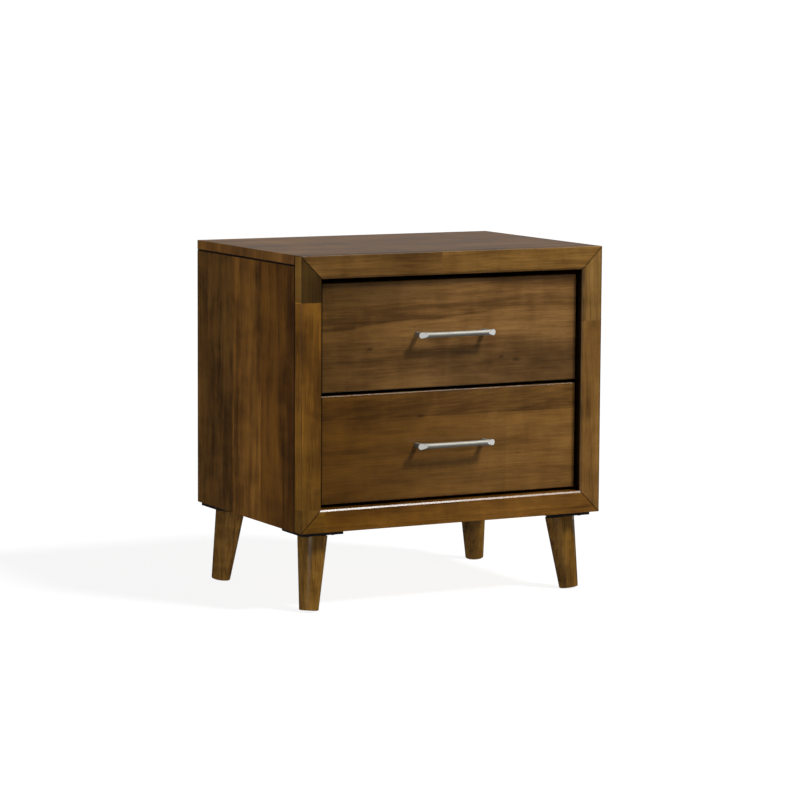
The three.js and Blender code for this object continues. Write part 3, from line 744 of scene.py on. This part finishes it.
def dress_frame():
    """Face frame: two stiles and two rails, mitred."""
    seam = distance_to("Y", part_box("frame_left_stile")[1].y)
    for side, sign, seed in (("left", -1, 3), ("right", 1, 8)):
        node = f"frame_{side}_stile"
        low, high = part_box(node)
        shade = shaded_reveal("X", high.x if sign < 0 else low.x, -sign, lit_side=sign)
        if side == "left":
            shade = with_stain_and_light_ramp(shade, "Z", low.z, STILE_CLIMB)
        finish = veneer(f"stile_{side}_veneer", "Z", "X", seed, contrast=0.92,
                        boards=("Z", low.z, high.z, STILE_BOARDS[side]),
                        seams=(mitre(sign, 1), mitre(sign, -1), seam), shade=shade)
        dress(node, finish, CASE_EASE)
    for edge, sign, seed in (("top", 1, 12), ("bottom", -1, 17)):
        node = f"frame_{edge}_rail"
        low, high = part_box(node)
        shade = shaded_reveal("Z", low.z, -1)
        if edge == "bottom":
            # The bottom rail's ramp paints light along it, darker to the left.
            shade = with_stain_and_light_ramp(None, "X", low.x, RAIL_STAIN_AND_LIGHT)
        finish = veneer(f"rail_{edge}_veneer", "X", "Z", seed, contrast=0.98,
                        boards=("X", low.x, high.x, RAIL_BOARDS[edge]),
                        seams=(mitre(-1, sign), mitre(1, sign), seam), shade=shade, coat=RAIL_COAT)
        dress(node, finish, CASE_EASE)


def top_sides(p):
    """The top board's own side edges are a little paler than its face."""
    out = p.math("ABSOLUTE", p.axes["X"])
    return p.remap(out, TOP_HIGH.x - 1.5 * MM, TOP_HIGH.x - 0.5 * MM, 1.0, TOP_SIDE_TONE)


def dress_panels():
    """The top and the two sides."""
    seam = distance_to("Y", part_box("frame_left_stile")[1].y)
    under_top = distance_to("Z", TOP_LOW.z)
    top = veneer("top_veneer", "X", "Y", 21, contrast=1.0, gloss=0.38, seams=(seam, under_top),
                 shade=top_sides, boards=("Y", TOP_LOW.y, TOP_HIGH.y, TOP_BOARDS))
    dress("top_panel", top, CASE_EASE)
    for side, seed in (("left", 30), ("right", 36)):
        panel = veneer(f"side_{side}_veneer", "Z", "Y", seed, contrast=1.35, flow=0.022,
                       seams=(seam, under_top),
                       boards=("Y", LEFT_LOW.y, LEFT_HIGH.y, SIDE_BOARDS))
        dress(f"side_panel_{side}", panel, CASE_EASE)


# Dark spots: share of the width, share of the height down from the top, and size.
UPPER_SPOTS = ((0.19, 0.62, 5 * MM), (0.76, 0.78, 6 * MM), (0.70, 0.75, 4 * MM))
KNOT_SHARE = 0.385
KNOT_DROP = 0.045
KNOT_SIZE = 7 * MM


def dress_fronts():
    """The two drawer fronts."""
    low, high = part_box("upper_drawer_front")
    tall, wide = high.z - low.z, high.x - low.x
    spots = [(low.x + across * wide, low.y, high.z - down * tall, size)
             for across, down, size in UPPER_SPOTS]
    upper = veneer("upper_front_veneer", "X", "Z", 44, contrast=0.80, streaks=(wavy_band,),
                   marks=spots, rim=(low, high, "XZ"), shade=upper_light)
    dress("upper_drawer_front", upper, FRONT_EASE, 3)
    low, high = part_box("lower_drawer_front")
    knot = (low.x + KNOT_SHARE * wide, low.y, high.z - KNOT_DROP, KNOT_SIZE)
    lower = veneer("lower_front_veneer", "X", "Z", 53, contrast=0.66, streaks=(top_band,),
                   marks=(knot,), rim=(low, high, "XZ"), shade=lower_light)
    dress("lower_drawer_front", lower, FRONT_EASE, 3)


def dress_inside():
    """The light woods: back, bottom, divider rail, drawer boxes and runner strips."""
    across_x = plain_wood("drawer_wood_across", "X", "Z", 61, LIGHT_STAIN)
    along_y = plain_wood("drawer_wood_along", "Y", "Z", 67, LIGHT_STAIN)
    ply = plain_wood("plywood", "X", "Y", 71, PLY_STAIN, gloss=0.6)
    back = plain_wood("back_plywood", "Z", "X", 73, PLY_STAIN, gloss=0.6)
    dress("back_panel", back, PANEL_EASE)
    dress("bottom_panel", plain_wood("bottom_wood", "X", "Y", 76, PLY_STAIN), PANEL_EASE)
    divider_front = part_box("divider_rail")[0].y

    # Painted shade on the divider's front face, in the gap between the drawers.
    def shaded_divider_front(p):
        return behind_face(p, divider_front, (DIVIDER_FRONT_SHADE, 1.0))
    divider = plain_wood("divider_wood", "X", "Z", 63, LIGHT_STAIN, shade=shaded_divider_front)
    dress("divider_rail", divider, PANEL_EASE)
    for level in LEVELS:
        dress(f"{level}_box_bottom", ply)
        for end in ("front", "back"):
            dress(f"{level}_box_{end}", across_x, BOX_EASE)
        for part in ("box_side", "runner_strip"):
            for side in SIDES:
                dress(f"{level}_{part}_{side}", along_y, BOX_EASE)


# ---- Mesh building ----
def outward(mesh):
    """Turns a mesh's faces outwards."""
    work = bmesh.new()
    work.from_mesh(mesh)
    bmesh.ops.recalc_face_normals(work, faces=work.faces)
    work.to_mesh(mesh)
    work.free()


def piece(name, verts, faces, *rest):
    """A new part of the object from vertices and faces; the rest is as for finish_piece."""
    mesh = bpy.data.meshes.new(name)
    mesh.from_pydata([tuple(v) for v in verts], [], faces)
    outward(mesh)
    return finish_piece(name, mesh, *rest)


def finish_piece(name, mesh, body, slot, material, replaced=(), sharp_above=35):
    """Puts a mesh in the scene, riding on a body, smooth except across sharp edges."""
    mesh.name = name
    mesh.materials.clear()
    mesh.materials.append(material)
    mesh.shade_smooth()
    mesh.set_sharp_from_angle(angle=math.radians(sharp_above))
    made = bpy.data.objects.new(name, mesh)
    bpy.context.scene.collection.objects.link(made)
    if replaced:
        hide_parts(*replaced)
    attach(made, body)
    return made


def tube_faces(rings, sides):
    """Faces of a closed tube: a first point, rings of vertices and a last point."""
    last = 1 + rings * sides
    faces = []
    for i in range(sides):
        j = (i + 1) % sides
        faces.append((0, 1 + j, 1 + i))
        for ring in range(rings - 1):
            low, high = 1 + ring * sides, 1 + (ring + 1) * sides
            faces.append((low + i, low + j, high + j, high + i))
        top = last - sides
        faces.append((top + i, top + j, last))
    return faces


def lathe(profile, sides, place=Matrix.Identity(4)):
    """Vertices and faces turned about Z from (radius, height) points; both ends lie on the axis."""
    verts = [place @ Vector((0, 0, profile[0][1]))]
    rings = profile[1:-1]
    for radius, height in rings:
        for i in range(sides):
            turn = 2 * math.pi * i / sides
            verts.append(place @ Vector((radius * math.cos(turn), radius * math.sin(turn), height)))
    verts.append(place @ Vector((0, 0, profile[-1][1])))
    return verts, tube_faces(len(rings), sides)


def arc(centre, radius, start, end, steps):
    """Points of an arc in the profile plane; angles in degrees from the outward direction."""
    points = []
    for step in range(steps + 1):
        turn = math.radians(start + (end - start) * step / steps)
        points.append((centre[0] + radius * math.cos(turn), centre[1] + radius * math.sin(turn)))
    return points


def joined(*shapes):
    """One list of vertices and faces from several."""
    verts, faces = [], []
    for some_verts, some_faces in shapes:
        start = len(verts)
        verts.extend(some_verts)
        faces.extend(tuple(i + start for i in face) for face in some_faces)
    return verts, faces


# Carving works on enlarged solids, and merges vertices closer than this there.
CARVING_SCALE = 1000
CARVING_MERGE = 0.002


def cross_prism(half, wide, low, high):
    """An upright prism with a plus-shaped section, used to cut a screw's recess."""
    arm = [(half, -wide), (half, wide), (wide, wide)]
    ring = []
    for quarter in range(4):
        turn = Matrix.Rotation(quarter * math.pi / 2, 3, "Z")
        ring.extend(turn @ Vector((x, y, 0)) for x, y in arm)
    count = len(ring)
    verts = [v + Vector((0, 0, z)) for z in (low, high) for v in ring]
    faces = [tuple(reversed(range(count))), tuple(range(count, 2 * count))]
    faces.extend((i, (i + 1) % count, count + (i + 1) % count, count + i) for i in range(count))
    return verts, faces


def loose(shape):
    """A hidden working object, enlarged so that small cuts come out clean."""
    mesh = bpy.data.meshes.new("tool")
    mesh.from_pydata([tuple(v * CARVING_SCALE) for v in shape[0]], [], shape[1])
    outward(mesh)
    return bpy.data.objects.new("tool", mesh)


def carved(shape, *steps):
    """The mesh left after each (operation, shape) step, as a boolean of closed solids."""
    base = loose(shape)
    tools = []
    bpy.context.scene.collection.objects.link(base)
    for operation, tool_shape in steps:
        tool = loose(tool_shape)
        bpy.context.scene.collection.objects.link(tool)
        cut = base.modifiers.new("cut", "BOOLEAN")
        cut.operation = operation
        cut.solver = "EXACT"
        cut.object = tool
        tools.append(tool)
    graph = bpy.context.evaluated_depsgraph_get()
    graph.update()
    result = bpy.data.meshes.new_from_object(base.evaluated_get(graph))
    for leftover in (base, *tools):
        bpy.data.objects.remove(leftover)
    work = bmesh.new()
    work.from_mesh(result)
    bmesh.ops.remove_doubles(work, verts=work.verts, dist=CARVING_MERGE)
    bmesh.ops.dissolve_degenerate(work, edges=work.edges, dist=CARVING_MERGE)
    bmesh.ops.scale(work, vec=(1 / CARVING_SCALE,) * 3, verts=work.verts)
    work.to_mesh(result)
    work.free()
    return result


# ---- Metals ----
SCRATCHES_ALONG = 40
SCRATCHES_ACROSS = 2500
SCRATCH_DEPTH = 0.03 * MM
CLOUD_TONE = 0.86


def satin_metal(name, colour, roughness, along="X", brushed=0.05, metallic=1.0):
    """Brushed or plated metal."""
    p = Paint(name, roughness=roughness, metallic=metallic)
    stretched = p.vector(*(
        p.times(p.axes[axis], SCRATCHES_ALONG if axis == along else SCRATCHES_ACROSS)
        for axis in "XYZ"))
    scratch = p.noise(stretched, 1.0, 3.0, 0.6)
    cloud = p.noise(p.place, 60.0, 3.0, 0.5)
    dull = tuple(channel * CLOUD_TONE for channel in colour)
    p.link(p.mix(p.remap(cloud, 0.3, 0.7, 0.0, 0.5), colour, dull), p.shader.inputs["Base Color"])
    rough = p.plus(p.times(scratch, brushed * 2), p.times(cloud, brushed))
    rough = p.plus(rough, roughness - 1.5 * brushed)
    p.link(rough, p.shader.inputs["Roughness"])
    p.bump(scratch, 0.15, SCRATCH_DEPTH)
    return p.material


BLACKS = ((0.005, 0.005, 0.0055), (0.012, 0.012, 0.013))
PEEL_DEPTH = 0.05 * MM


def black_paint(name):
    """Semi-gloss black paint with a slight orange peel."""
    p = Paint(name)
    cloud = p.noise(p.place, 90.0, 4.0, 0.6)
    peel = p.noise(p.place, 900.0, 2.0, 0.5)
    p.link(p.mix(cloud, *BLACKS), p.shader.inputs["Base Color"])
    p.link(p.remap(cloud, 0.3, 0.7, 0.36, 0.5), p.shader.inputs["Roughness"])
    p.shader.inputs["Specular IOR Level"].default_value = 0.3
    p.bump(peel, 0.2, PEEL_DEPTH)
    return p.material


# ---- Handles ----
BAR_LENGTH = 155 * MM
BAR_STANDOFF = 26 * MM
BAR_MID_RADIUS = 4.75 * MM
BAR_END_RADIUS = 6 * MM
BAR_NOSE = 5 * MM
POST_SPACING = 136 * MM
POST_RADIUS = 4.6 * MM
POST_BASE_ROUND = 0.5 * MM
FACET_LENGTH = 17 * MM
FACET_SLOPE = math.tan(math.radians(16))
FACET_EASE = 0.22 * MM
BAR_SIDES = 96
BAR_STATIONS = 70
NOSE_STATIONS = 12
POST_SIDES = 64
# The slanted flats lie on the front of the bar, and their faces are found by their slope.
FRONT_HALF = 0.05
FACET_TOLERANCE = 0.04
HANDLE_SHARP = 28
BORE_RADIUS = 2.3 * MM
BORE_DEPTH = 10 * MM


def soft_least(a, b, ease):
    """The smaller of two lengths, with the crease between them rounded."""
    blend = max(ease - abs(a - b), 0) / ease
    return min(a, b) - blend * blend * ease / 4


def bar_radius(share):
    """Radius at a signed share of the half length."""
    return BAR_MID_RADIUS + (BAR_END_RADIUS - BAR_MID_RADIUS) * abs(share) ** 3


def bar_stations():
    """(place along the bar, radius) pairs from the middle of the bar almost to the tip of its nose."""
    half = BAR_LENGTH / 2
    straight = half - BAR_NOSE
    stations = []
    for i in range(BAR_STATIONS):
        along = straight * i / BAR_STATIONS
        stations.append((along, bar_radius(along / half)))
    for i in range(NOSE_STATIONS):
        turn = math.pi / 2 * i / NOSE_STATIONS
        along = straight + BAR_NOSE * math.sin(turn)
        stations.append((along, bar_radius(along / half) * math.cos(turn)))
    return stations


def bar_shape(centre):
    """A bar along X that thickens to its rounded ends, with a slanted flat on the front of each end."""
    half = BAR_LENGTH / 2
    right = bar_stations()
    stations = [(-x, radius) for x, radius in reversed(right[1:])] + right
    flat_start = half - FACET_LENGTH
    start_radius = bar_radius(flat_start / half)
    verts = [centre - Vector((half, 0, 0))]
    for x, radius in stations:
        flat = start_radius - (abs(x) - flat_start) * FACET_SLOPE
        for i in range(BAR_SIDES):
            turn = 2 * math.pi * i / BAR_SIDES
            reach = radius
            if math.cos(turn) > FRONT_HALF:
                reach = soft_least(radius, flat / math.cos(turn), FACET_EASE)
            verts.append(centre + Vector((x, -reach * math.cos(turn), reach * math.sin(turn))))
    verts.append(centre + Vector((half, 0, 0)))
    return verts, tube_faces(len(stations), BAR_SIDES)


def along_y(x, y, z):
    """Turns a lathe's Z axis to run back along +Y from a place."""
    return Matrix.Translation((x, y, z)) @ Matrix.Rotation(-math.pi / 2, 4, "X")


def add_handle(level, nickel, facet):
    """One pull: the bar, its two posts and their screw holes, with facets of their own paler finish,
    which paints in their bright reflections.
    """
    low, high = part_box(f"{level}_drawer_front")
    face_y = low.y
    bar_y = face_y - BAR_STANDOFF
    z = (low.z + high.z) / 2
    base = arc((POST_RADIUS - POST_BASE_ROUND, BAR_STANDOFF - POST_BASE_ROUND),
               POST_BASE_ROUND, 0, 90, 4)
    posts, bores = [], []
    for x in (-POST_SPACING / 2, POST_SPACING / 2):
        post = lathe([(0, 0), (POST_RADIUS, 0), *base, (0, BAR_STANDOFF)], POST_SIDES,
                     along_y(x, bar_y, z))
        bore = lathe([(0, 0), (BORE_RADIUS, 0), (BORE_RADIUS, 2 * BORE_DEPTH), (0, 2 * BORE_DEPTH)],
                     SCREW_SIDES, along_y(x, face_y - BORE_DEPTH, z))
        posts.append(("UNION", post))
        bores.append(("DIFFERENCE", bore))
    mesh = carved(bar_shape(Vector((0, bar_y, z))), *posts, *bores)
    pull = finish_piece(f"{level}_pull", mesh, f"{level}_drawer", "satin_nickel", nickel,
                        (f"{level}_handle",), HANDLE_SHARP)
    pull.data.materials.append(facet)
    start = BAR_LENGTH / 2 - FACET_LENGTH
    for face in pull.data.polygons:
        normal = face.normal
        slanted = abs(abs(normal.x) - abs(normal.y) * FACET_SLOPE) < FACET_TOLERANCE
        level_face = abs(normal.z) < FACET_TOLERANCE
        if normal.y < 0 and abs(face.center.x) > start and slanted and level_face:
            face.material_index = 1


# ---- Screws ----
SCREW_SIDES = 32
CROSS_LENGTH = 4.4 * MM
CROSS_WIDTH = 0.95 * MM
CROSS_DEPTH = 1.3 * MM
DOME_STEPS = 6
DOME_RIM_SHARE = 0.35
DOME_TURN = 0.92


def crossed(profile, top, place):
    """A turned screw with a cross recess in its head, as vertices and faces."""
    recess = cross_prism(CROSS_LENGTH / 2, CROSS_WIDTH / 2, top - CROSS_DEPTH, top + CROSS_DEPTH)
    mesh = carved(lathe(profile, SCREW_SIDES), ("DIFFERENCE", recess))
    shape = [place @ v.co for v in mesh.vertices], [tuple(f.vertices) for f in mesh.polygons]
    bpy.data.meshes.remove(mesh)
    return shape


def dome(radius, rise, seat):
    """Profile points of a domed screw head that stands on a seat height."""
    rim = DOME_RIM_SHARE * rise
    points = [(radius, seat), (radius, seat + rim)]
    for step in range(1, DOME_STEPS + 1):
        turn = math.pi / 2 * step / DOME_STEPS
        height = seat + rim + (rise - rim) * math.sin(turn)
        points.append((radius * math.cos(turn * DOME_TURN), height))
    return points


PLATE_THICK = 7 * MM
PLATE_HEAD_RADIUS = 5.6 * MM
PLATE_HEAD_RISE = 3.1 * MM
PLATE_SCREW_OFFSET = 26 * MM
PLATE_SHANK_RADIUS = 2.1 * MM
PLATE_SHANK_LENGTH = 16 * MM
PLATE_TIP_LENGTH = 3 * MM
PLATE_TIP_SHARE = 0.3


def add_plate_screws(black):
    """Four domed screws up through each leg plate."""
    head = dome(PLATE_HEAD_RADIUS, PLATE_HEAD_RISE, 0)
    tip = -PLATE_SHANK_LENGTH
    profile = [(0, tip), (PLATE_SHANK_RADIUS * PLATE_TIP_SHARE, tip),
               (PLATE_SHANK_RADIUS, tip + PLATE_TIP_LENGTH),
               (PLATE_SHANK_RADIUS, 0), *head, (0, PLATE_HEAD_RISE)]
    single = crossed(profile, PLATE_HEAD_RISE, Matrix.Rotation(math.pi, 4, "X"))
    for corner in CORNERS:
        low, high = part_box(f"leg_plate_{corner}")
        centre = (low + high) / 2
        under = CASE_BOTTOM - PLATE_THICK
        shapes = []
        for x in (-PLATE_SCREW_OFFSET, PLATE_SCREW_OFFSET):
            for y in (-PLATE_SCREW_OFFSET, PLATE_SCREW_OFFSET):
                move = Vector((centre.x + x, centre.y + y, under))
                shapes.append(([v + move for v in single[0]], single[1]))
        piece(f"plate_screws_{corner}", *joined(*shapes), "cabinet", "black_steel", black)


HANDLE_HEAD_RADIUS = 4 * MM
HANDLE_HEAD_RISE = 2.5 * MM
HANDLE_SHANK_RADIUS = 2 * MM
HANDLE_TIP_SHARE = 0.6
THREAD_PITCH = 0.8 * MM
THREAD_DEPTH = 0.28 * MM
THREAD_LENGTH = 14 * MM


def add_handle_screws(level, zinc):
    """The screws that hold each pull, with their heads inside the drawer."""
    for side in SIDES:
        node = f"{level}_handle_screw_{side}"
        low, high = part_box(node)
        centre = (low + high) / 2
        length = high.y - low.y - HANDLE_HEAD_RISE
        profile = [(0, 0), (HANDLE_SHANK_RADIUS * HANDLE_TIP_SHARE, 0)]
        for turn in range(int(THREAD_LENGTH / THREAD_PITCH)):
            start = (turn + 0.5) * THREAD_PITCH
            profile.append((HANDLE_SHANK_RADIUS - THREAD_DEPTH, start))
            profile.append((HANDLE_SHANK_RADIUS, start + THREAD_PITCH / 2))
        profile.append((HANDLE_SHANK_RADIUS, length))
        profile.extend(dome(HANDLE_HEAD_RADIUS, HANDLE_HEAD_RISE, length))
        profile.append((0, length + HANDLE_HEAD_RISE))
        shape = crossed(profile, length + HANDLE_HEAD_RISE, along_y(centre.x, low.y, centre.z))
        piece(f"{level}_pull_screw_{side}", *shape, f"{level}_drawer", "zinc_steel", zinc, (node,))


# ---- Legs ----
LEG_SPLAY = math.radians(8.2)
LEG_TOP_RADIUS = 26.8 * MM
LEG_FOOT_RADIUS = 17.4 * MM
LEG_FOOT_ROUND = 1.6 * MM
LEG_TOP_ROUND = 1.2 * MM
LEG_SLACK = 0.2 * MM
LEG_SIDES = 96
LEG_STEPS = 12
LEG_SHARP = 50
# Tones of each leg, which also paint light: the rear left leg, in the case's shadow, is made much paler
# to stand in for the fill light that reaches it.
LEG_TONES_AND_LIGHT = {"front_left": 1.22, "front_right": 1.34, "rear_left": 1.60, "rear_right": 0.95}


def leg_place(corner, low, high):
    """The foot's centre, the way up the leg and the leg's length, from the box it fills."""
    sign_x = -1 if corner.endswith("left") else 1
    sign_y = -1 if corner.startswith("front") else 1
    lean = math.sin(LEG_SPLAY) * math.sqrt(0.5)
    up = Vector((-sign_x * lean, -sign_y * lean, math.cos(LEG_SPLAY)))
    spread = LEG_FOOT_RADIUS * math.sqrt(1 - lean * lean) - LEG_SLACK
    outer_x = low.x if sign_x < 0 else high.x
    outer_y = low.y if sign_y < 0 else high.y
    rise = ((LEG_FOOT_RADIUS - LEG_FOOT_ROUND) * math.sin(LEG_SPLAY)
            + LEG_FOOT_ROUND * (1 - math.cos(LEG_SPLAY)))
    foot = Vector((outer_x - sign_x * spread, outer_y - sign_y * spread, low.z + rise))
    length = (high.z - LEG_TOP_RADIUS * math.sin(LEG_SPLAY) - foot.z) / math.cos(LEG_SPLAY)
    return foot, up, length


def add_leg(corner, wood):
    """A turned leg that tapers to its foot, with both rims rounded."""
    node = f"leg_{corner}"
    foot, up, length = leg_place(corner, *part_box(node))
    place = Matrix.Translation(foot) @ up.to_track_quat("Z", "Y").to_matrix().to_4x4()
    bottom = arc((LEG_FOOT_RADIUS - LEG_FOOT_ROUND, LEG_FOOT_ROUND), LEG_FOOT_ROUND, -90, 0, 6)
    top = arc((LEG_TOP_RADIUS - LEG_TOP_ROUND, length - LEG_TOP_ROUND), LEG_TOP_ROUND, 0, 90, 5)
    body = []
    for step in range(1, LEG_STEPS):
        share = step / LEG_STEPS
        radius = LEG_FOOT_RADIUS + (LEG_TOP_RADIUS - LEG_FOOT_RADIUS) * share
        body.append((radius, LEG_FOOT_ROUND + (length - LEG_FOOT_ROUND - LEG_TOP_ROUND) * share))
    shape = lathe([(0, 0), *bottom, *body, *top, (0, length)], LEG_SIDES, place)
    piece(f"turned_leg_{corner}", *shape, "cabinet", "leg_wood", wood, (node,), LEG_SHARP)


ZINC = (0.56, 0.57, 0.58)
NICKEL = (0.30, 0.29, 0.255)
# The facets' paler, partly diffuse finish paints in their bright reflections.
FACET_HIGHLIGHT_NICKEL = (0.62, 0.61, 0.585)


def dress_metal():
    """Leg plates, bolts, screws, pulls and slides."""
    zinc = satin_metal("zinc_plate", ZINC, 0.34, "Y")
    nickel = satin_metal("satin_nickel", NICKEL, 0.62, "X", metallic=0.8)
    # The facets' paler, partly diffuse finish paints in their bright reflections.
    facet = satin_metal("facet_highlight_nickel", FACET_HIGHLIGHT_NICKEL, 0.45, "Z", metallic=0.40)
    black = black_paint("black_enamel")
    for corner in CORNERS:
        dress(f"leg_plate_{corner}", black, BOX_EASE)
        dress(f"hanger_bolt_{corner}", zinc)
    add_plate_screws(black)
    for level in LEVELS:
        add_handle(level, nickel, facet)
        add_handle_screws(level, zinc)
        for side in SIDES:
            for member in ("cabinet", "middle", "drawer"):
                dress(f"{level}_slide_{member}_{side}", zinc, SLIDE_EASE)


def dress_legs():
    """The four legs, each with its own grain and with a tone that also paints light."""
    for index, corner in enumerate(CORNERS):
        wood = veneer(f"leg_wood_{corner}", "Z", "X", 80 + 5 * index, contrast=1.45,
                      tone=LEG_TONES_AND_LIGHT[corner], gloss=0.28, flow=0.004)
        add_leg(corner, wood)


make_camera()
make_world()
make_floor()
add_key()
add_panels()
dress_frame()
dress_panels()
dress_fronts()
dress_inside()
dress_metal()
dress_legs()
bpy.context.scene.view_settings.view_transform = "Standard"
